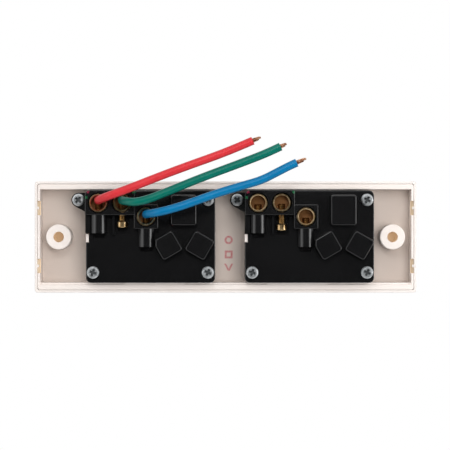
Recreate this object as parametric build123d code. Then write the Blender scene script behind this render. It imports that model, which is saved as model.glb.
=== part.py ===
import os
from math import cos, radians, sin, tan

from build123d import *

# Double switched wall socket for flat three-pin plugs, in millimetres.
# The wall plane is Y = 0, the front faces -Y, +Z is up and +X is to the right seen from the front.
# The origin lies on the wall plane, midway between the two wall screws.

# Front cover and base tray
plate_height = 48.4
plate_depth = 13.5
plate_corner = 1.3
cover_wall = 1.1
cover_front = 1.8
cover_edge = 1.0
cover_gap = 0.12
window_gap = 0.3
floor_thickness = 2.0
end_wall = 1.1
long_wall = 2.3
tray_corner = 1.0
rim_edge = 0.2

# Room along the plate, outside the two mechanisms and between them
left_space = 22.8
right_space = 19.0
module_gap = 12.8

# Wall screw pillars
wall_screw_inset = 10.4
pillar_diameter = 11.0
wall_screw_hole = 4.6
pillar_edge = 0.5

# Snap hooks of the cover, in notches of the tray's end walls
hook_z = 12.6
hook_length = 6.2
hook_side_gap = 0.3
hook_bite = 0.7
hook_depth = 3.2
hook_rise = 2.0
hook_rib = 1.2
hook_rib_drop = 0.4
notch_floor_gap = 0.2

# Socket face that stands through the cover's window
face_proud = 0.4
face_left_inset = 6.85
face_right_inset = 0.85
face_height = 33.0
face_z = -1.0
face_corner = 3.0
face_edge = 0.3

# Pin pattern
socket_inset = 13.45
socket_lift = -0.325
live_pin_radius = 7.92
live_pin_tilt = 30.0
earth_pin_drop = 10.31
pin_slot_length = 7.2
pin_slot_width = 2.2

# Rear housing; its blocks, humps and ribs stand by their steps above its back
housing_width = 55.7
housing_low_gap = 0.53
housing_top_gap = 0.88
housing_corner = 2.4
housing_rise = 6.0
housing_wall = 1.6
housing_back = 2.6
housing_edge = 0.5
seat_gap = 0.05
hump_wall = 1.4
hump_edge = 0.7
hump_corner = 1.2
earth_hump_width = 11.0
earth_hump_inset = 2.0
earth_hump_reach = 5.75
earth_hump_step = 5.2
pin_hump_size = 9.6
pin_hump_step = 4.8
hump_cut_gap = 0.5

# Terminals: brass tunnels with a clamping screw from above
terminal_diameter = 8.0
terminal_wall = 0.85
terminal_floor = 1.2
terminal_sink = 0.1
earth_sink = 1.2
terminal_gap = 0.35
terminal_edge = 0.3
terminal_rivet = 3.2
rivet_head = 4.4
rivet_head_height = 0.5
fit_gap = 0.05
active_side_wall = 1.65
active_low_wall = 1.45
earth_drop = 0.1
earth_spacing = 2.1
earth_side_wall = 1.6
neutral_spacing = 2.4
neutral_lift = 5.9
block_step = 5.0
block_edge = 0.4
block_margin = 1.2
strip_shift = 0.9

# Clamping screws and their shrouds
clamp_screw_depth = 4.0
clamp_thread = 3.5
clamp_shank = 6.1
clamp_head = 4.6
clamp_head_height = 2.6
clamp_slot_width = 0.7
clamp_slot_depth = 1.0
open_tip_gap = 0.05
shroud_radius = 3.45
shroud_bore = 2.5
shroud_length = 7.8
driver_pocket = 2.2
side_block_step = 2.5
channel_width = 6.3
channel_length = 8.6
channel_floor_wall = 0.9
channel_rib = 1.0
channel_rib_step = 2.8

# Housing screws
screw_side_inset = 3.15
screw_top_inset = 4.6
screw_low_inset = 4.15
lug_reach = 3.25
lug_radius = 3.1
lug_flank = 30.0
lug_drop = 1.4
column_radius = 3.7
boss_diameter = 4.8
boss_height = 7.0
boss_gap = 0.2
screw_thread = 2.9
screw_tip_gap = 1.6
screw_head = 5.3
screw_head_height = 1.9
screw_head_edge = 0.9
screw_recess_width = 1.1
screw_recess_span = 3.4
screw_recess_depth = 1.2
recess_floor_width = 0.6
recess_floor_span = 1.5
screw_clearance = 0.15
screw_turns = (30.0, 24.0, 18.0, 40.0)

# White key of the tray in the housing's side, and the ribs that line the housings up
key_z = 0.5
key_width = 3.4
key_thickness = 1.2
key_drop = 0.8
key_gap = 0.25
rib_inset = 11.4
rib_length = 26.25
rib_gap = 0.12
rib_drop = 0.2
ledge_drop = 0.9

# Rocker
rocker_inset = 15.85
rocker_z = 1.0
rocker_width = 10.0
rocker_height = 18.0
rocker_rise = 1.8
rocker_dish = 0.8
rocker_axis_depth = 3.2
rocker_wall = 1.3
rocker_roof = 2.0
rocker_edge = 0.5
rocker_tilt = 7.0
rocker_side_gap = 0.25
rocker_end_gap = 0.3
trunnion_diameter = 2.0
trunnion_length = 1.6
trunnion_gap = 0.05
stem_diameter = 5.2

# Plunger and its spring
plunger_diameter = 3.0
plunger_gap = 0.1
plunger_reach = 3.14
spring_space = 5.0
spring_wire = 0.4
spring_turns = 5
spring_end_gap = 0.05

# Switch blade and contact strips
strip_thickness = 0.8
strip_width = 4.2
blade_width = 6.0
blade_thickness = 0.8
blade_bottom = 6.0
blade_margin = 0.1
blade_tilt = 7.0
blade_plunger_gap = 0.06
blade_ear = 0.6
blade_ear_depth = 1.2
blade_ear_height = 2.4
post_gap = 0.05
post_thickness = 1.0
post_side_gap = 0.2
contact_offset = 9.0
contact_diameter = 3.0
contact_height = 0.5
contact_gap = 0.12
fixed_contact_height = 0.25

# Spring clips that grip the pins
clip_thickness = 0.6
clip_side_gap = 0.4
clip_mouth_half = 1.5
clip_pinch_half = 0.7
clip_root_half = 1.1
clip_back_gap = 0.3
clip_mouth_gap = 0.5
clip_lead = 2.2
clip_spring_length = 8.0

# Building wires in the left mechanism
wire_diameter = 3.5
conductor_diameter = 2.1
conductor_fold = 2.9
wire_start_gap = 0.15
conductor_tip = 4.2

# Places along and across the plate, worked out from the sizes above
plate_length = 2 * housing_width + module_gap + left_space + right_space
wall_screw_pitch = plate_length - 2 * wall_screw_inset
module_pitch = housing_width + module_gap
module_shift = (left_space - right_space) / 2
module_centres = {"left": module_shift - module_pitch / 2, "right": module_shift + module_pitch / 2}
base_length = plate_length - 2 * (cover_wall + cover_gap)
base_height = plate_height - 2 * (cover_wall + cover_gap)
tray_half = base_height / 2 - long_wall
housing_left = -housing_width / 2
housing_right = housing_width / 2
housing_low = -tray_half + housing_low_gap
housing_top = tray_half - housing_top_gap
face_left = housing_left + face_left_inset
face_right = housing_right - face_right_inset
rocker_x = housing_left + rocker_inset
socket_x = housing_right - socket_inset
socket_z = (housing_low + housing_top) / 2 + socket_lift
active_x = housing_left + active_side_wall + terminal_diameter / 2
active_z = housing_low + active_low_wall + terminal_diameter / 2
earth_x = active_x + terminal_diameter + earth_spacing
earth_z = active_z - earth_drop
neutral_x = earth_x + terminal_diameter + neutral_spacing
neutral_z = active_z + neutral_lift
screw_low_z = housing_low + screw_low_inset
screw_top_z = housing_top - screw_top_inset
lug_x = housing_left - lug_reach

# Levels from front to back
cover_front_y = -plate_depth
floor_front_y = cover_front_y + cover_front + cover_gap
floor_back_y = floor_front_y + floor_thickness
face_y = cover_front_y - face_proud
housing_front_y = floor_back_y + seat_gap
housing_inner_y = housing_rise - housing_back
block_y = housing_rise + block_step
earth_hump_y = housing_rise + earth_hump_step
pin_hump_y = housing_rise + pin_hump_step
lug_y = housing_rise - lug_drop
clamp_screw_y = block_y - clamp_screw_depth
channel_floor_y = housing_inner_y + channel_floor_wall
channel_rib_y = housing_rise + channel_rib_step
strip_high_y = housing_inner_y - seat_gap
strip_low_y = strip_high_y - strip_thickness
strip_mid_y = (strip_high_y + strip_low_y) / 2
terminal_low_y = strip_high_y + fit_gap
contact_y = strip_low_y - fixed_contact_height
contact_reach = contact_offset + contact_diameter / 2
post_radius = post_thickness / 2 + post_gap
blade_swing = contact_reach * sin(radians(blade_tilt))
blade_lean = (contact_height - post_radius) * cos(radians(blade_tilt))
blade_axis_y = contact_y - contact_gap - blade_swing - blade_lean
blade_back_y = blade_axis_y - post_radius
blade_front_y = blade_back_y - blade_thickness
rocker_axis_y = face_y + rocker_axis_depth
rocker_skirt_y = rocker_axis_y + trunnion_diameter / 2
rocker_top_y = face_y - rocker_rise
rocker_bore_y = rocker_top_y + rocker_dish + rocker_roof
plunger_tip_y = blade_front_y - blade_plunger_gap
plunger_back_y = rocker_bore_y + spring_space
stem_end_y = plunger_tip_y - plunger_reach

# Groups of places within one mechanism
hole_radius = terminal_diameter / 2 + terminal_gap
terminal_bore = terminal_diameter - 2 * terminal_wall
conductor_height = conductor_diameter + conductor_fold
wire_start_y = clamp_screw_y + clamp_thread / 2 + wire_start_gap
spring_radius = plunger_diameter / 2 - spring_wire
clip_width = pin_hump_size - 2 * (hump_wall + clip_side_gap)
contact_z = rocker_z + contact_offset
screw_length = lug_y + seat_gap - floor_back_y - screw_tip_gap
pin_offset_x = live_pin_radius * cos(radians(live_pin_tilt))
live_pin_z = socket_z + live_pin_radius * sin(radians(live_pin_tilt))
active_pin = (socket_x - pin_offset_x, live_pin_z)
neutral_pin = (socket_x + pin_offset_x, live_pin_z)
earth_pin = (socket_x, socket_z - earth_pin_drop)
pins = [(active_pin, -live_pin_tilt), (neutral_pin, live_pin_tilt), (earth_pin, 0.0)]
housing_screws = [
    (housing_right - screw_side_inset, screw_low_z),
    (housing_right - screw_side_inset, screw_top_z),
    (housing_left + screw_side_inset, screw_top_z),
    (lug_x, screw_low_z),
]
terminal_places = {
    "active": (active_x, active_z, block_y - terminal_sink),
    "neutral": (neutral_x, neutral_z, block_y - terminal_sink),
    "earth": (earth_x, earth_z, block_y - earth_sink),
}
shrouds = [(active_x, active_z), (neutral_x, neutral_z)]
shroud_start = terminal_diameter / 2 + block_margin
pivot_axis = Axis((rocker_x, rocker_axis_y, rocker_z), (1, 0, 0))
blade_axis = Axis((rocker_x, blade_axis_y, rocker_z), (1, 0, 0))
overcut = 1.0


# Shared shapes
def prism(profile, y_from, y_to):
    return extrude(Plane.XZ.offset(-y_to) * profile, amount=y_to - y_from)


def post(x, z, diameter, y_from, y_to):
    return prism(Pos(x, z) * Circle(diameter / 2), y_from, y_to)


def upright(x, y, z_from, z_to, diameter):
    rod = Cylinder(diameter / 2, z_to - z_from, align=(Align.CENTER, Align.CENTER, Align.MIN))
    return Pos(x, y, z_from) * rod


def cross_rod(x_from, x_to, y, z, diameter):
    rod = Cylinder(diameter / 2, x_to - x_from, rotation=(0, 90, 0))
    return Pos((x_from + x_to) / 2, y, z) * rod


def slab(x_from, x_to, y_from, y_to, z_from, z_to):
    block = Box(x_to - x_from, y_to - y_from, z_to - z_from)
    return Pos((x_from + x_to) / 2, (y_from + y_to) / 2, (z_from + z_to) / 2) * block


def rear_edges(solid):
    return solid.faces().sort_by(Axis.Y)[-1].edges()


def front_edges(solid):
    return solid.faces().sort_by(Axis.Y)[0].edges()


def strip_profile(points):
    profile = Sketch()
    for (x0, z0), (x1, z1) in zip(points, points[1:]):
        run = Vector(x1 - x0, z1 - z0)
        turn = Vector(1, 0, 0).get_signed_angle(run, Vector(0, 0, 1))
        link = SlotCenterToCenter(run.length, strip_width)
        profile += Pos((x0 + x1) / 2, (z0 + z1) / 2) * Rot(0, 0, turn) * link
    return profile


def housing_outline(inset=0.0):
    return rounded_at(
        housing_left + inset, housing_right - inset, housing_low + inset, housing_top - inset,
        housing_corner - inset
    )


def rounded_at(x_from, x_to, z_from, z_to, corner):
    outline = RectangleRounded(x_to - x_from, z_to - z_from, corner)
    return Pos((x_from + x_to) / 2, (z_from + z_to) / 2) * outline


def face_outline(gap=0.0):
    low = face_z - face_height / 2 - gap
    high = face_z + face_height / 2 + gap
    return rounded_at(face_left - gap, face_right + gap, low, high, face_corner + gap)


# Front cover
def surround_cover():
    outline = RectangleRounded(plate_length, plate_height, plate_corner)
    cover = prism(outline, cover_front_y, 0)
    cover = fillet(front_edges(cover), cover_edge)
    inside = RectangleRounded(
        plate_length - 2 * cover_wall, plate_height - 2 * cover_wall, plate_corner - cover_wall / 2
    )
    cover -= prism(inside, cover_front_y + cover_front, overcut)
    cover = chamfer(rear_edges(cover), rim_edge)
    for centre in module_centres.values():
        cover -= Pos(centre, 0, 0) * prism(face_outline(window_gap), cover_front_y - overcut, 0)
    inner_x = plate_length / 2 - cover_wall
    half_hook = hook_length / 2 - hook_side_gap
    wedge = Polyline(
        (inner_x, -hook_depth), (inner_x - hook_bite, -hook_depth + hook_bite / 2),
        (inner_x - hook_bite, -hook_depth + hook_rise / 2), (inner_x, -hook_depth + hook_rise), close=True
    )
    hook = extrude(Plane.XY.offset(-half_hook) * make_face(wedge), amount=2 * half_hook)
    hook += slab(inner_x - hook_bite, inner_x, -hook_depth, -hook_rib_drop, -hook_rib / 2, hook_rib / 2)
    for side_hook in (hook, mirror(hook, Plane.YZ)):
        for z in (-hook_z, hook_z):
            cover += Pos(0, 0, z) * side_hook
    return cover


# Base tray with its socket faces
def socket_face():
    face = prism(face_outline(), face_y, floor_front_y + seat_gap)
    return fillet(front_edges(face), face_edge)


def rocker_opening():
    swing = (rocker_axis_y - rocker_top_y) * sin(radians(rocker_tilt))
    opening = Rectangle(
        rocker_width + 2 * rocker_side_gap, rocker_height + 2 * (swing + rocker_end_gap)
    )
    cut = prism(Pos(rocker_x, rocker_z) * opening, face_y - overcut, floor_back_y + overcut)
    groove_half = rocker_width / 2 + trunnion_length + rocker_side_gap
    groove = trunnion_diameter + 2 * trunnion_gap
    cut += cross_rod(rocker_x - groove_half, rocker_x + groove_half, rocker_axis_y, rocker_z, groove)
    cut += slab(
        rocker_x - groove_half, rocker_x + groove_half, rocker_axis_y, floor_back_y + overcut,
        rocker_z - groove / 2, rocker_z + groove / 2
    )
    return cut


def module_base_additions():
    added = socket_face()
    for x, z in housing_screws:
        added += post(x, z, boss_diameter, floor_back_y - seat_gap, floor_back_y + boss_height)
    added += slab(
        housing_left, housing_left + key_thickness, floor_back_y - seat_gap, housing_rise - key_drop,
        key_z - key_width / 2, key_z + key_width / 2
    )
    return added


def module_base_cuts():
    cuts = rocker_opening()
    for (x, z), tilt in pins:
        slot = Rectangle(pin_slot_width, pin_slot_length)
        cuts += prism(Pos(x, z) * Rot(0, 0, tilt) * slot, face_y - overcut, floor_back_y + overcut)
    for x, z in housing_screws:
        pilot = screw_thread + 2 * fit_gap
        cuts += post(x, z, pilot, floor_back_y, floor_back_y + boss_height + overcut)
    return cuts


def base_plate():
    tray = prism(RectangleRounded(base_length, base_height, tray_corner), floor_front_y, 0)
    inside = Rectangle(base_length - 2 * end_wall, base_height - 2 * long_wall)
    tray -= prism(inside, floor_back_y, overcut)
    tray = chamfer(rear_edges(tray), rim_edge)
    ledge_half = base_length / 2 - end_wall + seat_gap
    tray += slab(
        -ledge_half, ledge_half, floor_back_y - seat_gap, -ledge_drop, housing_top + rib_gap, tray_half + seat_gap
    )
    for side in (-1, 1):
        x = side * wall_screw_pitch / 2
        pillar = post(x, 0, pillar_diameter, floor_back_y - seat_gap, 0)
        tray += fillet(rear_edges(pillar), pillar_edge)
        tray -= post(x, 0, wall_screw_hole, floor_front_y - overcut, overcut)
        outer = side * base_length / 2
        inner = outer - side * (end_wall + seat_gap)
        for z in (-hook_z, hook_z):
            tray -= slab(
                min(outer, inner), max(outer, inner), -hook_depth - notch_floor_gap, overcut,
                z - hook_length / 2, z + hook_length / 2
            )
        near = side * (module_gap / 2 + rib_inset)
        far = near + side * rib_length
        tray += slab(
            min(near, far), max(near, far), floor_back_y - seat_gap, -rib_drop,
            housing_top + rib_gap, tray_half + seat_gap
        )
    for centre in module_centres.values():
        tray += Pos(centre, 0, 0) * module_base_additions()
        tray -= Pos(centre, 0, 0) * module_base_cuts()
    return tray


# Rear housing
def terminal_blocks():
    reach = terminal_diameter / 2 + block_margin
    right = earth_x + terminal_diameter / 2 + earth_side_wall
    pair = rounded_at(housing_left, right, housing_low, active_z + reach, block_margin / 2)
    pair = pair & housing_outline()
    single = rounded_at(
        neutral_x - reach, neutral_x + reach, neutral_z - reach, neutral_z + reach, block_margin / 2
    )
    blocks = []
    for profile in (pair, single):
        block = prism(profile, housing_inner_y, block_y)
        blocks.append(fillet(rear_edges(block), block_edge))
    return blocks[0] + blocks[1]


def hump(x, z, width, height, tilt, rise):
    outline = Rot(0, 0, tilt) * RectangleRounded(width, height, hump_corner)
    return prism(Pos(x, z) * outline, housing_inner_y, rise)


def pin_humps():
    low = housing_low + earth_hump_inset
    high = earth_pin[1] + earth_hump_reach
    middle = (low + high) / 2
    solid = hump(socket_x, middle, earth_hump_width, high - low, 0, earth_hump_y)
    solid = fillet(rear_edges(solid), hump_edge)
    inner_width = earth_hump_width - 2 * hump_wall
    inner_height = high - low - 2 * hump_wall
    hollow = hump(socket_x, middle, inner_width, inner_height, 0, earth_hump_y - hump_wall)
    shroud_side = neutral_x + shroud_radius + hump_cut_gap
    for (x, z), tilt in pins[:2]:
        outer = hump(x, z, pin_hump_size, pin_hump_size, tilt, pin_hump_y)
        outer -= slab(
            shroud_side - pin_hump_size, shroud_side, housing_inner_y - overcut, pin_hump_y + overcut,
            z - pin_hump_size, z + pin_hump_size
        )
        solid += fillet(rear_edges(outer), hump_edge)
        inner_size = pin_hump_size - 2 * hump_wall
        hollow += hump(x, z, inner_size, inner_size, tilt, pin_hump_y - hump_wall)
    return solid, hollow


def screw_shrouds():
    solid = Part()
    hollow = Part()
    for x, z in shrouds:
        start = z + shroud_start
        end = start + shroud_length
        solid += upright(x, clamp_screw_y, start - block_edge - seat_gap, end, 2 * shroud_radius)
        solid += slab(
            x - shroud_radius, x + shroud_radius, housing_inner_y + seat_gap, clamp_screw_y,
            start - block_edge - seat_gap, end
        )
        hollow += upright(x, clamp_screw_y, z, end, 2 * shroud_bore)
        hollow += slab(
            x - shroud_bore, x + shroud_bore, clamp_screw_y - shroud_bore, housing_rise + overcut,
            end, end + driver_pocket
        )
    start = active_z + shroud_start
    solid += slab(
        housing_left, active_x - shroud_radius + seat_gap, housing_inner_y + seat_gap,
        housing_rise + side_block_step, start - block_edge - seat_gap, start + shroud_length
    )
    return solid, hollow


def earth_channel():
    start = earth_z + shroud_start
    end = start + channel_length
    half = channel_width / 2
    rib = slab(
        earth_x - half - channel_rib, earth_x - half, housing_inner_y + seat_gap, channel_rib_y,
        start - block_edge - seat_gap, end
    )
    cut = slab(earth_x - half, earth_x + half, channel_floor_y, channel_rib_y + overcut, start, end)
    cut += upright(earth_x, clamp_screw_y, earth_z, start + overcut, clamp_thread + 2 * terminal_gap)
    return rib, cut


def screw_columns():
    solid = Part()
    hollow = Part()
    socket = boss_diameter + 2 * boss_gap
    socket_top = floor_back_y + boss_height + boss_gap
    hole = screw_thread + 2 * screw_clearance
    for x, z in housing_screws:
        is_lug = x == lug_x
        radius = lug_radius if is_lug else column_radius
        rise = lug_y if is_lug else housing_rise
        profile = Pos(x, z) * Circle(radius)
        if is_lug:
            root_x = housing_left + housing_wall
            flank = (x - radius * sin(radians(lug_flank)), z + radius * cos(radians(lug_flank)))
            root = [(root_x, z - radius), (root_x, z + 2 * radius)]
            profile += Polygon((x, z - radius), *root, flank, align=None)
        else:
            profile = profile & housing_outline()
        top = rise if is_lug else housing_inner_y + seat_gap
        solid += prism(profile, housing_front_y, top)
        hollow += post(x, z, socket, housing_front_y - overcut, socket_top)
        hollow += post(x, z, hole, housing_front_y, rise + overcut)
    return solid, hollow


def rear_housing():
    shell = prism(housing_outline(), housing_front_y, housing_rise)
    shell = fillet(rear_edges(shell), housing_edge)
    shell -= prism(housing_outline(housing_wall), housing_front_y - overcut, housing_inner_y)
    humps, hump_hollows = pin_humps()
    tunnels, tunnel_hollows = screw_shrouds()
    rib, channel = earth_channel()
    columns, column_hollows = screw_columns()
    shell += terminal_blocks() + humps + tunnels + rib + columns
    shell -= hump_hollows + tunnel_hollows + channel + column_hollows
    for x, z, _ in terminal_places.values():
        shell -= post(x, z, 2 * hole_radius, housing_inner_y - overcut, block_y + overcut)
    key_right = housing_left + key_thickness + key_gap
    half_key = key_width / 2 + key_gap
    shell -= slab(
        housing_left - overcut, key_right, housing_front_y - overcut, housing_rise + overcut,
        key_z - half_key, key_z + half_key
    )
    return shell


# Brass terminals, strips and clips
def terminal(x, z, top):
    tunnel = post(x, z, terminal_diameter, terminal_low_y, top)
    tunnel -= post(x, z, terminal_bore, terminal_low_y + terminal_floor, top + overcut)
    tunnel = chamfer(rear_edges(tunnel), terminal_edge)
    thread_hole = clamp_thread + 2 * fit_gap
    tunnel -= upright(x, clamp_screw_y, z, z + terminal_diameter, thread_hole)
    tunnel += post(x, z, terminal_rivet, strip_low_y - fit_gap, terminal_low_y)
    tunnel += post(x, z, rivet_head, strip_low_y - fit_gap - rivet_head_height, strip_low_y - fit_gap)
    return tunnel


def strip(points):
    return prism(strip_profile(points), strip_low_y, strip_high_y)


def rivet_hole(x, z):
    return post(x, z, terminal_rivet + 2 * fit_gap, strip_low_y - overcut, strip_high_y + overcut)


def clip_levels(rise):
    back = rise - hump_wall - clip_back_gap
    mouth = floor_back_y + clip_mouth_gap
    return mouth, back


def pin_clip(place, tilt, rise):
    mouth, back = clip_levels(rise)
    pinch = mouth + clip_lead
    root = pinch + clip_spring_length
    inner = [
        (clip_mouth_half, mouth), (clip_pinch_half, pinch), (clip_root_half, root),
        (clip_root_half, back - clip_thickness)
    ]
    outer = [
        (clip_root_half + clip_thickness, back), (clip_root_half + clip_thickness, root),
        (clip_pinch_half + clip_thickness, pinch), (clip_mouth_half + clip_thickness, mouth)
    ]
    around = outer + inner + [(-u, v) for u, v in reversed(inner)] + [(-u, v) for u, v in reversed(outer)]
    profile = make_face(Polyline(*around, close=True))
    clip = extrude(Plane.XY.offset(-clip_width / 2) * profile, amount=clip_width)
    x, z = place
    return Pos(x, 0, z) * Rot(0, -tilt, 0) * clip


def pin_way(place, tilt, rise):
    mouth, back = clip_levels(rise)
    way = Box(2 * clip_root_half, back - clip_thickness - mouth, clip_width + 2 * strip_width)
    x, z = place
    return Pos(x, (mouth + back - clip_thickness) / 2, z) * Rot(0, -tilt, 0) * way


def socket_contact(points, pin, rise):
    place, tilt = pin
    piece = strip(points + [place]) - pin_way(place, tilt, rise)
    return piece + pin_clip(place, tilt, rise)


def neutral_contact():
    bend_z = (earth_pin[1] + live_pin_z) / 2
    points = [(neutral_x, neutral_z), (neutral_x + strip_width, bend_z)]
    points.append((neutral_pin[0] - strip_width / 2, bend_z))
    return socket_contact(points, pins[1], pin_hump_y) - rivet_hole(neutral_x, neutral_z)


def earth_contact():
    run_z = earth_z - strip_shift
    points = [(earth_x, earth_z), (earth_x + strip_width, run_z), (socket_x - strip_width, run_z)]
    return socket_contact(points, pins[2], earth_hump_y) - rivet_hole(earth_x, earth_z)


def active_contact():
    points = [(rocker_x, rocker_z), (active_pin[0] - strip_width, rocker_z)]
    piece = socket_contact(points, pins[0], pin_hump_y)
    half = blade_width / 2 - blade_ear - post_side_gap
    piece += cross_rod(rocker_x - half, rocker_x + half, blade_axis_y, rocker_z, post_thickness)
    piece += slab(
        rocker_x - half, rocker_x + half, blade_axis_y, strip_mid_y,
        rocker_z - post_thickness / 2, rocker_z + post_thickness / 2
    )
    return piece


def switch_strip():
    corner_z = contact_z - contact_offset / 2
    points = [(active_x, active_z), (active_x, corner_z)]
    points += [(rocker_x - strip_width, contact_z), (rocker_x, contact_z)]
    piece = strip(points) - rivet_hole(active_x, active_z)
    return piece + post(rocker_x, contact_z, contact_diameter, contact_y, strip_mid_y)


def switch_blade():
    half = blade_width / 2
    blade = slab(
        rocker_x - half, rocker_x + half, blade_front_y, blade_back_y,
        rocker_z - blade_bottom, rocker_z + contact_reach + blade_margin
    )
    blade += post(rocker_x, contact_z, contact_diameter, blade_front_y, blade_back_y + contact_height)
    for side in (-1, 1):
        ear_mid = rocker_x + side * (half - blade_ear / 2)
        blade += slab(
            ear_mid - blade_ear / 2, ear_mid + blade_ear / 2,
            blade_front_y, blade_back_y + blade_ear_depth,
            rocker_z - blade_ear_height / 2, rocker_z + blade_ear_height / 2
        )
    return blade.rotate(blade_axis, blade_tilt)


# Rocker, plunger and spring
def rocker():
    half = rocker_height / 2
    crest = rocker_top_y + rocker_dish
    face = ThreePointArc((rocker_top_y, -half), (crest, 0), (rocker_top_y, half))
    sides = Polyline(
        (rocker_top_y, half), (rocker_skirt_y, half), (rocker_skirt_y, -half), (rocker_top_y, -half)
    )
    profile = make_face([face, sides])
    key = extrude(Plane.YZ.offset(-rocker_width / 2) * profile, amount=rocker_width)
    key = fillet(key.edges().group_by(Axis.Y)[0], rocker_edge)
    pocket = Rectangle(rocker_width - 2 * rocker_wall, rocker_height - 2 * rocker_wall)
    key -= prism(pocket, crest + rocker_roof, rocker_skirt_y + overcut)
    key += post(0, 0, stem_diameter, crest + rocker_roof - seat_gap, stem_end_y)
    reach = rocker_width / 2 + trunnion_length
    key += cross_rod(-reach, -rocker_width / 2 + rocker_wall, rocker_axis_y, 0, trunnion_diameter)
    key += cross_rod(rocker_width / 2 - rocker_wall, reach, rocker_axis_y, 0, trunnion_diameter)
    bore = plunger_diameter + 2 * plunger_gap
    key -= post(0, 0, bore, rocker_bore_y, stem_end_y + overcut)
    return (Pos(rocker_x, 0, rocker_z) * key).rotate(pivot_axis, -rocker_tilt)


def plunger():
    radius = plunger_diameter / 2
    body = post(0, 0, plunger_diameter, plunger_back_y, plunger_tip_y - radius)
    body += Pos(0, plunger_tip_y - radius, 0) * Sphere(radius)
    return (Pos(rocker_x, 0, rocker_z) * body).rotate(pivot_axis, -rocker_tilt)


def plunger_spring():
    low = rocker_bore_y + spring_end_gap + spring_wire / 2
    high = plunger_back_y - spring_end_gap - spring_wire / 2
    height = high - low
    coil = Helix(pitch=height / spring_turns, height=height, radius=spring_radius)
    start = Plane(origin=coil @ 0, z_dir=coil % 0)
    wire = sweep(start * Circle(spring_wire / 2), path=coil, is_frenet=True)
    turned = Pos(0, low, 0) * Rot(-90, 0, 0) * wire
    return (Pos(rocker_x, 0, rocker_z) * turned).rotate(pivot_axis, -rocker_tilt)


# Screws
def housing_screw(x, z, seat, turn):
    shank = post(x, z, screw_thread, seat - screw_length, seat + screw_head_height / 2)
    head = post(x, z, screw_head, seat, seat + screw_head_height)
    head = fillet(rear_edges(head), screw_head_edge)
    top = seat + screw_head_height
    for angle in (turn, turn + 90):
        place = Pos(x, z) * Rot(0, 0, angle)
        mouth = place * Rectangle(screw_recess_span, screw_recess_width)
        floor = place * Rectangle(recess_floor_span, recess_floor_width)
        mouth = Plane.XZ.offset(-top - seat_gap) * mouth
        floor = Plane.XZ.offset(screw_recess_depth - top) * floor
        head -= loft([floor, mouth])
    return shank + head


def housing_screw_set():
    screws = []
    for (x, z), turn in zip(housing_screws, screw_turns):
        seat = (lug_y if x == lug_x else housing_rise) + seat_gap
        screws.append(housing_screw(x, z, seat, turn))
    return screws


def clamp_screw(x, z, tip_offset):
    tip = z + tip_offset
    seat = tip + clamp_shank
    top = seat + clamp_head_height
    screw = upright(x, clamp_screw_y, tip, seat, clamp_thread)
    head = upright(x, clamp_screw_y, seat, top, clamp_head)
    head -= slab(
        x - clamp_head, x + clamp_head, clamp_screw_y - clamp_slot_width / 2,
        clamp_screw_y + clamp_slot_width / 2, top - clamp_slot_depth, top + overcut
    )
    return screw + head


def clamp_screw_set(wired):
    wall_tip = terminal_bore / 2 + open_tip_gap
    wire_tip = conductor_height - terminal_bore / 2 + 2 * fit_gap
    tip_offset = wire_tip if wired else wall_tip
    return [clamp_screw(x, z, tip_offset) for x, z, _ in terminal_places.values()]


# Building wires: points chosen by hand along the photographed routes, in millimetres
red_route = [
    (-54.55, wire_start_y, -15.7), (-54.55, 12.9, -15.7), (-52.5, 17.0, -16.4), (-48.5, 19.9, -17.8),
    (-41.7, 20.6, -20.2), (-29.1, 20.2, -25.2), (-16.3, 20.6, -30.0), (-3.3, 20.2, -34.6),
    (6.4, 20.5, -38.5), (11.5, 20.8, -40.7),
]
green_route = [
    (-44.45, wire_start_y, -15.8), (-44.45, 12.0, -15.8), (-42.5, 16.0, -15.3), (-38.2, 18.2, -14.8),
    (-32.2, 18.8, -16.2), (-22.7, 18.6, -20.1), (-9.8, 18.9, -25.3), (3.1, 18.5, -30.1),
    (13.5, 18.9, -34.0), (19.0, 19.1, -36.3), (23.2, 19.2, -38.3),
]
blue_route = [
    (-34.05, wire_start_y, -9.8), (-34.05, 12.9, -9.8), (-31.9, 16.7, -10.1), (-27.5, 19.1, -10.8),
    (-21.5, 19.6, -12.3), (-13.0, 19.2, -15.2), (-3.0, 19.5, -18.8), (7.0, 19.0, -21.8),
    (15.2, 19.3, -24.1), (22.4, 19.4, -27.8), (26.6, 19.6, -30.0), (30.0, 19.7, -31.5),
]
wires = {"red": (red_route, "active"), "green": (green_route, "earth"), "blue": (blue_route, "neutral")}
arc_share = 0.45


def route_radii(points):
    radii = []
    for before, corner, after in zip(points, points[1:], points[2:]):
        run_in = Vector(*corner) - Vector(*before)
        run_out = Vector(*after) - Vector(*corner)
        half_turn = radians(run_in.get_angle(run_out)) / 2
        radii.append(arc_share * min(run_in.length, run_out.length) / tan(half_turn))
    return radii


def wire_tube(colour, points):
    radii = route_radii(points)
    path = FilletPolyline(*points, radius=radii)
    section = Circle(wire_diameter / 2)
    tube = sweep(Plane(origin=path @ 0, z_dir=path % 0) * section, path=path)
    print(colour, "wire length", round(path.length, 2), "radii", [round(r, 1) for r in radii])
    print(colour, "volume", round(tube.volume, 2), "section x length", round(section.area * path.length, 2))
    return tube


def wire_conductors(points, terminal_name):
    x, z, _ = terminal_places[terminal_name]
    x += module_centres["left"]
    start_y = points[0][1]
    low = z - terminal_bore / 2 + fit_gap
    pressed = SlotOverall(conductor_height, conductor_diameter, rotation=90)
    pressed = Pos(x, low + conductor_height / 2) * pressed
    clamped = prism(pressed, terminal_low_y + terminal_floor + fit_gap, start_y)
    end = Vector(*points[-1])
    along = end - Vector(*points[-2])
    bare = extrude(Plane(origin=end, z_dir=along) * Circle(conductor_diameter / 2), amount=conductor_tip)
    return [clamped, bare]


# Files, one for each named piece
os.makedirs("parts", exist_ok=True)


def save(name, shape):
    export_step(shape, f"parts/{name}.step")


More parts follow.
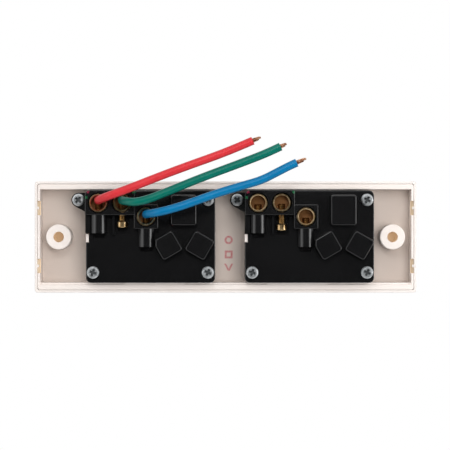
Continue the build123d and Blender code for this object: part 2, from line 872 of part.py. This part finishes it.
def save_group(name, solids):
    save(name, Compound(children=list(solids)))


save("surround_cover", surround_cover())
save("base_plate", base_plate())

module_pieces = {
    "rear_housing": rear_housing(),
    "active_terminal": terminal(*terminal_places["active"]),
    "neutral_terminal": terminal(*terminal_places["neutral"]),
    "earth_terminal": terminal(*terminal_places["earth"]),
    "switch_strip": switch_strip(),
    "active_contact": active_contact(),
    "neutral_contact": neutral_contact(),
    "earth_contact": earth_contact(),
    "switch_blade": switch_blade(),
    "rocker": rocker(),
    "plunger": plunger(),
    "plunger_spring": plunger_spring(),
}
for side, centre in module_centres.items():
    place = Pos(centre, 0, 0)
    for name, shape in module_pieces.items():
        save(f"{side}_{name}", place * shape)
    save_group(f"{side}_housing_screws", [place * screw for screw in housing_screw_set()])
    save_group(f"{side}_terminal_screws", [place * screw for screw in clamp_screw_set(side == "left")])

for colour, (route, terminal_name) in wires.items():
    save(f"{colour}_wire", wire_tube(colour, route))
    save_group(f"{colour}_wire_conductor", wire_conductors(route, terminal_name))
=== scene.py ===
import math

import bmesh
import bpy
from mathutils import Matrix, Vector


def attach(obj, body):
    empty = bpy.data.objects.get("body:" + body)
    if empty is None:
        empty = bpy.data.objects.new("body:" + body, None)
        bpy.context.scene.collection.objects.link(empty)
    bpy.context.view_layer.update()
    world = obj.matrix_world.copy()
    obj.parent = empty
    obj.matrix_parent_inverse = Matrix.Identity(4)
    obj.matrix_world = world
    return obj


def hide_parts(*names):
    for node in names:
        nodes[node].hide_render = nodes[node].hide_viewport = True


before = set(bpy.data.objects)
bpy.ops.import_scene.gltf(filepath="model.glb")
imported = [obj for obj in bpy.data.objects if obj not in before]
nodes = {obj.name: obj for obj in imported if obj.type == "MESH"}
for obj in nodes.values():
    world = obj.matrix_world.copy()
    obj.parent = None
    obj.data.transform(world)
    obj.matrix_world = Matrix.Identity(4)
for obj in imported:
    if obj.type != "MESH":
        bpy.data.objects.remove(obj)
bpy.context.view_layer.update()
mm = 0.001
sides = ("left", "right")
moduleCentre = {"left": -32.35 * mm, "right": 36.15 * mm}
# Middles of the terminal bores: x and z in millimetres from a module's centre
terminalPlaces = {"active": (-22.2, -14.7), "earth": (-12.1, -14.8), "neutral": (-1.7, -8.8)}
print("frame loaded", len(nodes), "nodes")


# A socket that takes part in sums, so that shader maths reads as plain expressions
class Value:
    def __init__(self, tree, socket):
        self.tree = tree
        self.socket = socket

    def math(self, operation, first, second=0.0):
        return self.tree.node("ShaderNodeMath", {"operation": operation}, {0: first, 1: second})

    def output(self, name):
        return Value(self.tree, self.socket.node.outputs[name])

    def __add__(self, other):
        return self.math("ADD", self, other)

    __radd__ = __add__

    def __sub__(self, other):
        return self.math("SUBTRACT", self, other)

    def __rsub__(self, other):
        return self.math("SUBTRACT", other, self)

    def __mul__(self, other):
        return self.math("MULTIPLY", self, other)

    __rmul__ = __mul__

    def __pow__(self, other):
        return self.math("POWER", self, other)

    def __lt__(self, other):
        return self.math("LESS_THAN", self, other)

    def __gt__(self, other):
        return self.math("GREATER_THAN", self, other)

    def __abs__(self):
        return self.math("ABSOLUTE", self)

    def __or__(self, other):  # either mask, or the larger value
        return self.math("MAXIMUM", self, other)

    __ror__ = __or__

    def within(self, low, high):
        return (self > low) * (self < high)


# A node tree with one maker for every node
class Tree:
    def __init__(self, tree):
        self.tree = tree

    def node(self, kind, settings, inputs, output=0):
        made = self.tree.nodes.new(kind)
        for key, value in settings.items():
            if key == "stops":
                self.setStops(made.color_ramp, value)
            else:
                setattr(made, key, value)
        for key, value in inputs.items():
            self.feed(made.inputs[key], value)
        return Value(self, made.outputs[output])

    def setStops(self, ramp, stops):
        while len(ramp.elements) < len(stops):
            ramp.elements.new(1.0)
        for element, (position, colour) in zip(ramp.elements, stops):
            element.position = position
            element.color = colour

    def feed(self, socket, value):
        if isinstance(value, Value):
            self.tree.links.new(value.socket, socket)
        else:
            socket.default_value = value

    def seenRay(self):  # camera, mirror and glass rays
        ray = self.node("ShaderNodeLightPath", {}, {}, "Is Camera Ray")
        return ray | ray.output("Is Glossy Ray") | ray.output("Is Transmission Ray")


noiseSet = {"fine": 2.0, "cloudy": 3.0, "patchy": 4.0, "rough": 0.55}  # detail by kind


# One material: its Principled shader, Object coordinates and the patterns used by several finishes
class Finish(Tree):
    def __init__(self, name):
        self.material = bpy.data.materials.new(name)
        self.material.use_nodes = True
        super().__init__(self.material.node_tree)
        self.shader = self.tree.nodes["Principled BSDF"]
        self.place = self.node("ShaderNodeTexCoord", {}, {}, "Object")
        self.x = self.node("ShaderNodeSeparateXYZ", {}, {"Vector": self.place})
        self.y = self.x.output("Y")
        self.z = self.x.output("Z")

    def set(self, **inputs):
        for key, value in inputs.items():
            self.feed(self.shader.inputs[key.replace("_", " ")], value)

    def noise(self, size, kind="cloudy"):
        inputs = {
            "Vector": self.place, "Scale": 1.0 / size, "Detail": noiseSet[kind],
            "Roughness": noiseSet["rough"],
        }
        return self.node("ShaderNodeTexNoise", {}, inputs, "Fac")

    def between(self, value, low, high):
        return self.node("ShaderNodeMapRange", {}, {"Value": value, "To Min": low, "To Max": high})

    def far(self, x, z):  # distance from a line along Y
        return ((self.x - x) ** 2 + (self.z - z) ** 2) ** 0.5

    def mix(self, factor, first, second):  # the node's colour sockets are 6, 7 and output 2
        inputs = {0: factor, 6: first, 7: second}
        return self.node("ShaderNodeMix", {"data_type": "RGBA"}, inputs, 2)

    def paint(self, colour):
        self.colour = colour
        self.set(Base_Color=colour)

    def tint(self, mask, colour):  # another colour where the mask is 1
        self.paint(self.mix(mask, self.colour, colour))

    def grained(self, look):  # fine grain in the gloss and the surface
        grain = self.noise(look["grain"], "fine")
        inputs = {"Height": grain, "Strength": look["grainBump"], "Distance": look["grainDepth"]}
        self.set(
            Roughness=self.between(grain, *look["rough"]),
            Normal=self.node("ShaderNodeBump", {}, inputs),
        )


def rgb(red, green, blue):  # display colour 0-255 to scene colour, by the sRGB curve
    def one(level):
        level = level / 255.0
        return level / 12.92 if level <= 0.04045 else ((level + 0.055) / 1.055) ** 2.4
    return (one(red), one(green), one(blue), 1.0)


def dress(node, finish):
    piece = nodes[node]
    piece.data.materials.clear()
    piece.data.materials.append(finish.material)


# White moulded plastic: warm white, slightly cloudy, satin with a fine grain
whiteLook = {
    "light": rgb(240, 234, 230), "shade": rgb(234, 225, 218), "cloud": 14 * mm,
    "grain": 0.35 * mm, "grainDepth": 0.006 * mm, "grainBump": 0.25, "rough": (0.3, 0.42),
}
baseLook = dict(whiteLook, light=rgb(242, 234, 229), shade=rgb(236, 225, 217))
nylonLook = dict(whiteLook, light=rgb(236, 232, 218), shade=rgb(222, 216, 198))


def whitePlastic(name, look):
    finish = Finish(name)
    finish.paint(finish.mix(finish.noise(look["cloud"]), look["light"], look["shade"]))
    finish.grained(look)
    return finish


# Deep narrow places of the thin white walls, the two wall-screw holes and the notches in the end
# walls, get a painted warm shade colour and a faint painted glow
paintedShadeAndGlowSet = {
    "tint": rgb(222, 202, 174), "paintedGlow": (0.12, 0.09, 0.06, 1), "none": (0, 0, 0, 1),
    "holeX": 72.6 * mm, "holeRadius": 2.33 * mm, "holeY": (-12.8 * mm, -0.6 * mm),
    "notchX": (80.7 * mm, 82.7 * mm), "notchY": (-3.6 * mm, -0.9 * mm),
    "notchZ": 12.6 * mm, "notchHalf": 3.15 * mm,
}


def paintShadeAndGlow(finish):
    outward = abs(finish.x)
    hole = ((outward - paintedShadeAndGlowSet["holeX"]) ** 2 + finish.z ** 2) ** 0.5 < paintedShadeAndGlowSet["holeRadius"]
    hole = hole * finish.y.within(*paintedShadeAndGlowSet["holeY"])
    notch = abs(abs(finish.z) - paintedShadeAndGlowSet["notchZ"]) < paintedShadeAndGlowSet["notchHalf"]
    notch = notch * outward.within(*paintedShadeAndGlowSet["notchX"]) * finish.y.within(*paintedShadeAndGlowSet["notchY"])
    # painted warm shade and a faint painted glow in the holes and notches
    paintedShadeAndGlowMask = hole | notch
    finish.tint(paintedShadeAndGlowMask, paintedShadeAndGlowSet["tint"])
    paintedGlow = finish.mix(paintedShadeAndGlowMask, paintedShadeAndGlowSet["none"], paintedShadeAndGlowSet["paintedGlow"])
    finish.set(Emission_Color=paintedGlow, Emission_Strength=1.0)


# Painted shade on the tray: its recessed matt floor painted a little darker and warmer than its
# walls
trayShadeSet = {"shadeTone": rgb(214, 200, 190), "y": (-12.5 * mm, -9.3 * mm)}


def paintTrayShade(finish):
    # painted shade over the recessed floor
    finish.tint(finish.y.within(*trayShadeSet["y"]), trayShadeSet["shadeTone"])


# Plain red ink marks on the tray's floor between the mechanisms: a ring, a square and a wedge
inkSet = {
    "ink": rgb(196, 84, 96), "x": 1.35 * mm, "floorY": -6 * mm, "line": 0.44 * mm,
    "ringZ": 1.4 * mm, "ring": 1.4 * mm, "squareZ": 7.8 * mm, "square": 1.3 * mm,
    "wedgeZ": 13.4 * mm, "wedge": 0.78 * mm, "wedgeLean": 0.5, "wedgeHalf": 1.56 * mm,
    "patch": 0.8 * mm, "wear": (0.1, 1.2),
}


def inkMarks(finish):
    line = inkSet["line"]
    across = abs(finish.x - inkSet["x"])
    ring = abs(finish.far(inkSet["x"], inkSet["ringZ"]) - inkSet["ring"]) < line
    square = abs((across | abs(finish.z - inkSet["squareZ"])) - inkSet["square"]) < line
    up = finish.z - inkSet["wedgeZ"]
    wedge = abs(across + up * inkSet["wedgeLean"] - inkSet["wedge"]) < line
    wedge = wedge * (abs(up) < inkSet["wedgeHalf"])
    worn = finish.between(finish.noise(inkSet["patch"], "patchy"), *inkSet["wear"])
    finish.tint((ring | square | wedge) * (finish.y < inkSet["floorY"]) * worn, inkSet["ink"])


coverFinish = whitePlastic("whiteCover", whiteLook)
paintShadeAndGlow(coverFinish)
dress("surround_cover", coverFinish)
baseFinish = whitePlastic("whiteBase", baseLook)
paintTrayShade(baseFinish)
inkMarks(baseFinish)
paintShadeAndGlow(baseFinish)
dress("base_plate", baseFinish)
rockerFinish = whitePlastic("whiteRocker", whiteLook)
nylonFinish = whitePlastic("naturalNylon", nylonLook)
for side in sides:
    dress(side + "_rocker", rockerFinish)
    dress(side + "_plunger", nylonFinish)
print("white plastic done")


# Black moulding: deep glossy black with a faint flow pattern
blackLook = {
    "deep": rgb(9, 9, 10), "pale": rgb(18, 18, 19), "flow": 9 * mm,
    "grain": 0.25 * mm, "grainDepth": 0.003 * mm, "grainBump": 0.2, "rough": (0.18, 0.3),
}
# Small dabs of paint beside the terminals: x and z in millimetres from a module's centre
dabSet = {
    "reach": 0.6 * mm, "ragged": 0.5 * mm, "swing": 0.9 * mm,
    "red": {"paint": rgb(120, 26, 52), "places": [(-27.2, -19.8), (-26.5, -19.3)]},
    "green": {"paint": rgb(20, 84, 50), "places": [(-7.0, -19.3), (-27.3, -17.0)]},
}


def paintDabs(finish, centre):
    ragged = finish.between(finish.noise(dabSet["ragged"]), -dabSet["swing"], dabSet["swing"])
    for name in ("red", "green"):
        for x, z in dabSet[name]["places"]:
            dab = finish.far(centre + x * mm, z * mm) + ragged < dabSet["reach"]
            finish.tint(dab, dabSet[name]["paint"])


def blackMoulding(name, centre):
    finish = Finish(name)
    finish.paint(finish.mix(finish.noise(blackLook["flow"]), blackLook["deep"], blackLook["pale"]))
    paintDabs(finish, centre)
    finish.grained(blackLook)
    return finish


for side in sides:
    dress(side + "_rear_housing", blackMoulding(side + "BlackMoulding", moduleCentre[side]))
print("black mouldings done")


# Metals: tarnish in patches over a bright ground, fine scratches
metalGrain = {
    "patch": 1.6 * mm, "dullStop": 0.38, "brightStop": 0.62,
    "grain": 0.16 * mm, "grainDepth": 0.006 * mm, "grainBump": 0.3,
}
metalLooks = {
    "zincPlate": {
        "bright": (0.6, 0.62, 0.63, 1), "dull": (0.36, 0.38, 0.39, 1), "rough": (0.5, 0.62),
    },
    "turnedBrass": {
        "bright": (0.86, 0.68, 0.42, 1), "dull": (0.58, 0.4, 0.2, 1), "rough": (0.22, 0.36),
    },
    "brassScrew": {
        "bright": (0.62, 0.45, 0.24, 1), "dull": (0.34, 0.22, 0.1, 1), "rough": (0.25, 0.4),
    },
    "contactBrass": {
        "bright": (0.8, 0.6, 0.3, 1), "dull": (0.62, 0.42, 0.2, 1), "rough": (0.25, 0.4),
    },
    "springSteel": {
        "bright": (0.5, 0.51, 0.53, 1), "dull": (0.32, 0.32, 0.34, 1), "rough": (0.25, 0.4),
    },
    "bareCopper": {
        "bright": (0.72, 0.4, 0.24, 1), "dull": (0.28, 0.11, 0.06, 1), "rough": (0.28, 0.45),
    },
}
sharedMetals = ("brassScrew", "contactBrass", "springSteel", "bareCopper")
metalNodes = {
    "contactBrass": (
        "switch_strip", "switch_blade", "active_contact", "neutral_contact", "earth_contact",
    ),
    "springSteel": ("plunger_spring",),
}


def metal(name, kind):
    look = dict(metalGrain, **metalLooks[kind])
    finish = Finish(name)
    patch = finish.noise(look["patch"], "patchy")
    stops = [(look["dullStop"], look["dull"]), (look["brightStop"], look["bright"])]
    finish.paint(finish.node("ShaderNodeValToRGB", {"stops": stops}, {"Fac": patch}))
    finish.set(Metallic=1.0)
    finish.grained(look)
    return finish


metals = {kind: metal(kind, kind) for kind in sharedMetals}
for side in sides:
    for kind, names in metalNodes.items():
        for name in names:
            dress(f"{side}_{name}", metals[kind])

# Housing screws: zinc plated, with painted shade down in the cross recess.
# Each place is x and z from a module's centre and the y below which the painted shade lies, in
# millimetres
recessShadeSet = {
    "recessShade": (0.18, 0.19, 0.195, 1), "reach": 1.75 * mm,
    "places": [(-31.1, -16.0, 6.3), (24.7, -16.0, 7.7), (24.7, 15.2, 7.7), (-24.7, 15.2, 7.7)],
}


def zincScrews(name, centre):
    finish = metal(name, "zincPlate")
    recessShade = 0.0
    for x, z, top in recessShadeSet["places"]:
        near = finish.far(centre + x * mm, z * mm) < recessShadeSet["reach"]
        recessShade = recessShade | near * (finish.y < top * mm)
    # painted shade in the cross recesses
    finish.tint(recessShade, recessShadeSet["recessShade"])
    return finish


for side in sides:
    dress(side + "_housing_screws", zincScrews(side + "ZincPlate", moduleCentre[side]))

# Brass tunnels: clean at the mouth, with painted shade down the bore: a dull, darker and less
# metallic brown
tunnelSet = {
    "boreShade": (0.3, 0.14, 0.05, 1), "boreShadeMetallic": 0.6, "bore": 3.2 * mm, "clean": 0.5 * mm,
    "mouthY": {"active": 10.9 * mm, "earth": 9.8 * mm, "neutral": 10.9 * mm},
}


def brassTunnel(name, centreX, centreZ, mouthY):
    finish = metal(name, "turnedBrass")
    shadedBore = finish.far(centreX, centreZ) < tunnelSet["bore"]
    shadedBore = shadedBore * (finish.y < mouthY - tunnelSet["clean"])
    # painted shade down the bore
    finish.tint(shadedBore, tunnelSet["boreShade"])
    finish.set(Metallic=finish.between(shadedBore, 1.0, tunnelSet["boreShadeMetallic"]))
    return finish


for side in sides:
    for name, (x, z) in terminalPlaces.items():
        centreX = moduleCentre[side] + x * mm
        mouthY = tunnelSet["mouthY"][name]
        finish = brassTunnel(f"{side}{name.title()}Brass", centreX, z * mm, mouthY)
        dress(f"{side}_{name}_terminal", finish)
print("metals done")


def addObject(name, data):
    piece = bpy.data.objects.new(name, data)
    bpy.context.scene.collection.objects.link(piece)
    return piece


def meshObject(name, shape, finish):
    mesh = bpy.data.meshes.new(name)
    shape.to_mesh(mesh)
    shape.free()
    mesh.materials.append(finish.material)
    return addObject(name, mesh)


# Clamping screws of the terminals, reaching into the bores: ringed thread, round slotted head
screwSet = {
    "major": 1.75 * mm, "minor": 1.42 * mm, "tipRadius": 1.207 * mm, "pitch": 0.7 * mm,
    "turns": 12, "lead": 0.2 * mm, "shank": 8.85 * mm, "head": 2.3 * mm, "headHeight": 2.6 * mm,
    "edge": 0.28 * mm, "slotLength": 8 * mm, "slotWidth": 0.7 * mm, "slotDepth": 1.0 * mm,
    "axisY": 7.0 * mm, "tipZ": {"left": -0.8 * mm, "right": 0.45 * mm},
    "segments": 36, "merge": 0.001 * mm, "sharpAngle": 25,
}


def screwProfile():  # radius and height of each point, from the tip up
    low = screwSet["shank"]
    top = low + screwSet["headHeight"]
    head = screwSet["head"]
    edge = screwSet["edge"]
    points = [(0.0, 0.0), (screwSet["tipRadius"], 0.0)]
    for turn in range(screwSet["turns"]):
        start = screwSet["lead"] + turn * screwSet["pitch"]
        crest = start + screwSet["pitch"] / 2
        points += [(screwSet["minor"], start), (screwSet["major"], crest)]
    points += [(screwSet["minor"], low), (head - edge, low), (head, low + edge)]
    return points + [(head, top - edge), (head - edge, top), (0.0, top)]


def cutAway(piece, cutter):
    cut = piece.modifiers.new("cut", "BOOLEAN")
    cut.operation = "DIFFERENCE"
    cut.object = cutter
    graph = bpy.context.evaluated_depsgraph_get()
    mesh = bpy.data.meshes.new_from_object(piece.evaluated_get(graph))
    piece.modifiers.clear()
    piece.data = mesh
    bpy.data.objects.remove(cutter)
    mesh.shade_smooth()
    mesh.set_sharp_from_angle(angle=math.radians(screwSet["sharpAngle"]))


def terminalScrews(side):
    shape = bmesh.new()
    slots = bmesh.new()
    top = Vector((0, 0, screwSet["shank"] + screwSet["headHeight"]))
    slotSize = (screwSet["slotLength"], screwSet["slotWidth"], 2 * screwSet["slotDepth"])
    for x, z in terminalPlaces.values():
        tipZ = z * mm + screwSet["tipZ"][side]
        place = Vector((moduleCentre[side] + x * mm, screwSet["axisY"], tipZ))
        before = set(shape.verts)
        line = [shape.verts.new((radius, 0, height)) for radius, height in screwProfile()]
        edges = [shape.edges.new(pair) for pair in zip(line, line[1:])]
        bmesh.ops.spin(
            shape, geom=line + edges, cent=(0, 0, 0), axis=(0, 0, 1), angle=2 * math.pi,
            steps=screwSet["segments"], use_merge=True,
        )
        made = [vert for vert in shape.verts if vert not in before]
        bmesh.ops.translate(shape, vec=place, verts=made)
        slot = bmesh.ops.create_cube(slots, size=1.0)["verts"]
        bmesh.ops.scale(slots, vec=slotSize, verts=slot)
        bmesh.ops.translate(slots, vec=place + top, verts=slot)
    bmesh.ops.remove_doubles(shape, verts=shape.verts, dist=screwSet["merge"])
    bmesh.ops.recalc_face_normals(shape, faces=shape.faces)
    piece = meshObject(side + "TerminalScrews", shape, metals["brassScrew"])
    cutAway(piece, meshObject("slots", slots, metals["brassScrew"]))
    return piece


for side in sides:
    screws = terminalScrews(side)
    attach(screws, "socket_body")
    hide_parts(side + "_terminal_screws")
print("terminal screws done")


# Wire insulation: even colour with slight scuffs, satin
insulationGrain = {
    "scuff": 5 * mm, "sheen": 0.25,
    "grain": 0.4 * mm, "grainDepth": 0.01 * mm, "grainBump": 0.25, "rough": (0.26, 0.36),
}
insulationLooks = {
    "red": {"light": rgb(216, 58, 64), "deep": rgb(196, 40, 48)},
    "green": {"light": rgb(0, 117, 101), "deep": rgb(0, 96, 83)},
    "blue": {"light": rgb(0, 122, 174), "deep": rgb(0, 103, 152)},
}


def insulation(colour):
    finish = Finish(colour + "Insulation")
    look = insulationLooks[colour]
    scuff = finish.noise(insulationGrain["scuff"], "patchy")
    finish.paint(finish.mix(scuff, look["light"], look["deep"]))
    finish.set(Specular_IOR_Level=insulationGrain["sheen"])
    finish.grained(insulationGrain)
    return finish


# Building wires: the routes of the solids, in millimetres
wireSet = {"diameter": 3.5 * mm, "order": 3, "resolution": 16, "roundness": 8}
wireRoutes = {
    "red": [
        (-54.55, 8.9, -15.7), (-54.55, 12.9, -15.7), (-52.5, 17.0, -16.4), (-48.5, 19.9, -17.8),
        (-41.7, 20.6, -20.2), (-29.1, 20.2, -25.2), (-16.3, 20.6, -30.0), (-3.3, 20.2, -34.6),
        (6.4, 20.5, -38.5), (11.5, 20.8, -40.7),
    ],
    "green": [
        (-44.45, 8.9, -15.8), (-44.45, 12.0, -15.8), (-42.5, 16.0, -15.3), (-38.2, 18.2, -14.8),
        (-32.2, 18.8, -16.2), (-22.7, 18.6, -20.1), (-9.8, 18.9, -25.3), (3.1, 18.5, -30.1),
        (13.5, 18.9, -34.0), (19.0, 19.1, -36.3), (23.2, 19.2, -38.3),
    ],
    "blue": [
        (-34.05, 8.9, -9.8), (-34.05, 12.9, -9.8), (-31.9, 16.7, -10.1), (-27.5, 19.1, -10.8),
        (-21.5, 19.6, -12.3), (-13.0, 19.2, -15.2), (-3.0, 19.5, -18.8), (7.0, 19.0, -21.8),
        (15.2, 19.3, -24.1), (22.4, 19.4, -27.8), (26.6, 19.6, -30.0), (30.0, 19.7, -31.5),
    ],
}
wireTerminals = {"red": "active", "green": "earth", "blue": "neutral"}


def roundCurve(name, diameter, roundness, finish):
    data = bpy.data.curves.new(name, "CURVE")
    data.dimensions = "3D"
    data.bevel_depth = diameter / 2
    data.bevel_resolution = roundness
    data.use_fill_caps = True
    data.materials.append(finish.material)
    return data


def addSpline(data, places, resolution):
    spline = data.splines.new("NURBS")
    spline.points.add(len(places) - 1)
    for point, place in zip(spline.points, places):
        point.co = (*place, 1.0)
    spline.order_u = wireSet["order"]
    spline.use_endpoint_u = True
    spline.resolution_u = resolution


def wireCurve(colour, route):
    name = colour + "Insulation"
    data = roundCurve(name, wireSet["diameter"], wireSet["roundness"], insulation(colour))
    addSpline(data, route, wireSet["resolution"])
    return addObject(name, data)


# Stranded copper: twisted to a blunt point at the free end, pressed together under the clamping
# screw. An end is uneven by a middle share of its reach, a swing and a rate from strand to strand
strandSet = {
    "count": 7, "diameter": 0.66 * mm, "ring": 0.67 * mm, "steps": 5, "roundness": 2,
    "resolution": 4, "splayLeast": 0.3, "splayRate": 2.4,
}
freeEnd = {
    "reach": {"red": 3.6 * mm, "green": 2.8 * mm, "blue": 4.3 * mm}, "root": 1.0 * mm,
    "turn": 0.9, "splay": -0.35 * mm, "uneven": (0.8, 0.2, 1.7),
}
clampedEnd = {
    "reach": {"red": 4.1 * mm, "green": 4.1 * mm, "blue": 4.1 * mm}, "root": 0.5 * mm,
    "turn": 0.5, "splay": 0.0, "uneven": (0.9, 0.1, 2.1), "asideZ": -2.0 * mm,
}


def strandPlaces(start, along, across, index, length, end):
    up = along.cross(across)
    ring = 0.0 if index == 0 else strandSet["ring"]
    spread = math.sin(strandSet["splayRate"] * index) ** 2
    splay = end["splay"] * (strandSet["splayLeast"] + (1 - strandSet["splayLeast"]) * spread)
    places = []
    for step in range(strandSet["steps"]):
        share = step / (strandSet["steps"] - 1)
        angle = 2 * math.pi * index / (strandSet["count"] - 1) + end["turn"] * share
        aside = across * math.cos(angle) + up * math.sin(angle)
        places.append(start + along * length * share + aside * (ring + splay * share ** 2))
    return places


def addStrands(data, colour, leaving, along, across, end):
    middle, swing, rate = end["uneven"]
    start = leaving - along * end["root"]
    for index in range(strandSet["count"]):
        reach = end["reach"][colour] * (middle + swing * math.cos(rate * index))
        places = strandPlaces(start, along, across, index, end["root"] + reach, end)
        addSpline(data, places, strandSet["resolution"])


def wireStrands(colour, route):
    name = colour + "Strands"
    data = roundCurve(name, strandSet["diameter"], strandSet["roundness"], metals["bareCopper"])
    along = (route[-1] - route[-2]).normalized()
    across = along.cross(Vector((0, 1, 0))).normalized()
    addStrands(data, colour, route[-1], along, across, freeEnd)
    x, z = terminalPlaces[wireTerminals[colour]]
    clampZ = z * mm + clampedEnd["asideZ"]
    clamped = Vector((moduleCentre["left"] + x * mm, route[0].y, clampZ))
    addStrands(data, colour, clamped, Vector((0, -1, 0)), Vector((1, 0, 0)), clampedEnd)
    return addObject(name, data)


for colour in wireRoutes:
    route = [Vector(place) * mm for place in wireRoutes[colour]]
    wire = wireCurve(colour, route)
    strands = wireStrands(colour, route)
    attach(wire, "socket_body")
    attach(strands, "socket_body")
    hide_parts(colour + "_wire")
    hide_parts(colour + "_wire_conductor")
print("wires done")


# Stage: pale floor well below the plate, a dark card behind the camera that shows only in
# reflections, and soft lamps
stageSet = {
    "floorZ": -0.3, "floorSize": 2.2, "floorTone": (0.82, 0.82, 0.82, 1), "floorRough": 0.9,
    "floorWhite": 0.95, "white": (1, 1, 1, 1),
    "cardY": 0.95, "cardSize": 2.4, "cardTone": (0.01, 0.01, 0.01, 1),
}
lampSet = {
    "leftSoft": {"place": (-0.75, 0.5, 0.0), "size": 0.6, "power": 1.45, "mirrored": True},
    "rightSoft": {"place": (0.75, 0.35, 0.0), "size": 0.4, "power": 2.2, "mirrored": True},
    "lowSoft": {"place": (-0.05, 0.6, -0.24), "size": 0.12, "power": 0.45, "mirrored": True},
    "backSoft": {"place": (0.22, 0.85, -0.03), "size": 0.4, "power": 3.5, "mirrored": False},
    "frontSoft": {"place": (0.3, -0.9, 0.7), "size": 0.8, "power": 8.5, "mirrored": True},
}
worldSet = {"seen": 1.0, "ambient": 0.33}


def stagePlane(name, size, matrix, finish):
    shape = bmesh.new()
    bmesh.ops.create_grid(shape, x_segments=1, y_segments=1, size=size / 2)
    bmesh.ops.transform(shape, matrix=matrix, verts=shape.verts)
    piece = meshObject(name, shape, finish)
    return piece


def floorFinish():  # nearly white to the camera, keeping a faint shadow
    finish = Finish("paleFloor")
    finish.set(Base_Color=stageSet["floorTone"], Roughness=stageSet["floorRough"])
    ground = Value(finish, finish.shader.outputs[0])
    white = finish.node("ShaderNodeEmission", {}, {"Color": stageSet["white"], "Strength": 1.0})
    inputs = {0: finish.seenRay() * stageSet["floorWhite"], 1: ground, 2: white}
    blend = finish.node("ShaderNodeMixShader", {}, inputs)
    finish.feed(finish.tree.nodes["Material Output"].inputs["Surface"], blend)
    return finish


def cardFinish():
    finish = Finish("darkCard")
    finish.set(Base_Color=stageSet["cardTone"], Roughness=1.0, Specular_IOR_Level=0.0)
    return finish


def addLamp(name, place, size, power, mirrored):
    data = bpy.data.lights.new(name, "AREA")
    data.size = size
    data.energy = power
    lamp = addObject(name, data)
    lamp.location = place
    lamp.rotation_euler = (-Vector(place)).to_track_quat("-Z", "Y").to_euler()
    lamp.visible_glossy = mirrored


def makeWorld():
    world = bpy.data.worlds.new("whiteRoom")
    world.use_nodes = True
    bpy.context.scene.world = world
    tree = Tree(world.node_tree)
    level = worldSet["ambient"] + tree.seenRay() * (worldSet["seen"] - worldSet["ambient"])
    ground = world.node_tree.nodes["Background"]
    tree.feed(ground.inputs["Color"], stageSet["white"])
    tree.feed(ground.inputs["Strength"], level)


lying = Matrix.Translation((0, 0, stageSet["floorZ"]))
stagePlane("paleFloor", stageSet["floorSize"], lying, floorFinish())
upright = Matrix.Translation((0, stageSet["cardY"], 0)) @ Matrix.Rotation(math.pi / 2, 4, "X")
card = stagePlane("darkCard", stageSet["cardSize"], upright, cardFinish())
card.visible_camera = False
card.visible_diffuse = False
for name, lamp in lampSet.items():
    addLamp(name, **lamp)
makeWorld()

# Camera: straight on from behind the plate, turned so that the plate's lower edge is uppermost
cameraSet = {"distance": 0.65, "x": -0.26 * mm, "z": -5.2 * mm, "frameWidth": 195.652 * mm}
cameraData = bpy.data.cameras.new("rearCamera")
cameraData.lens = cameraData.sensor_width * cameraSet["distance"] / cameraSet["frameWidth"]
camera = addObject("rearCamera", cameraData)
camera.location = (cameraSet["x"], cameraSet["distance"], cameraSet["z"])
camera.rotation_euler = (-math.pi / 2, 0, 0)
bpy.context.scene.camera = camera
bpy.context.scene.view_settings.view_transform = "Standard"
print("stage and camera done")
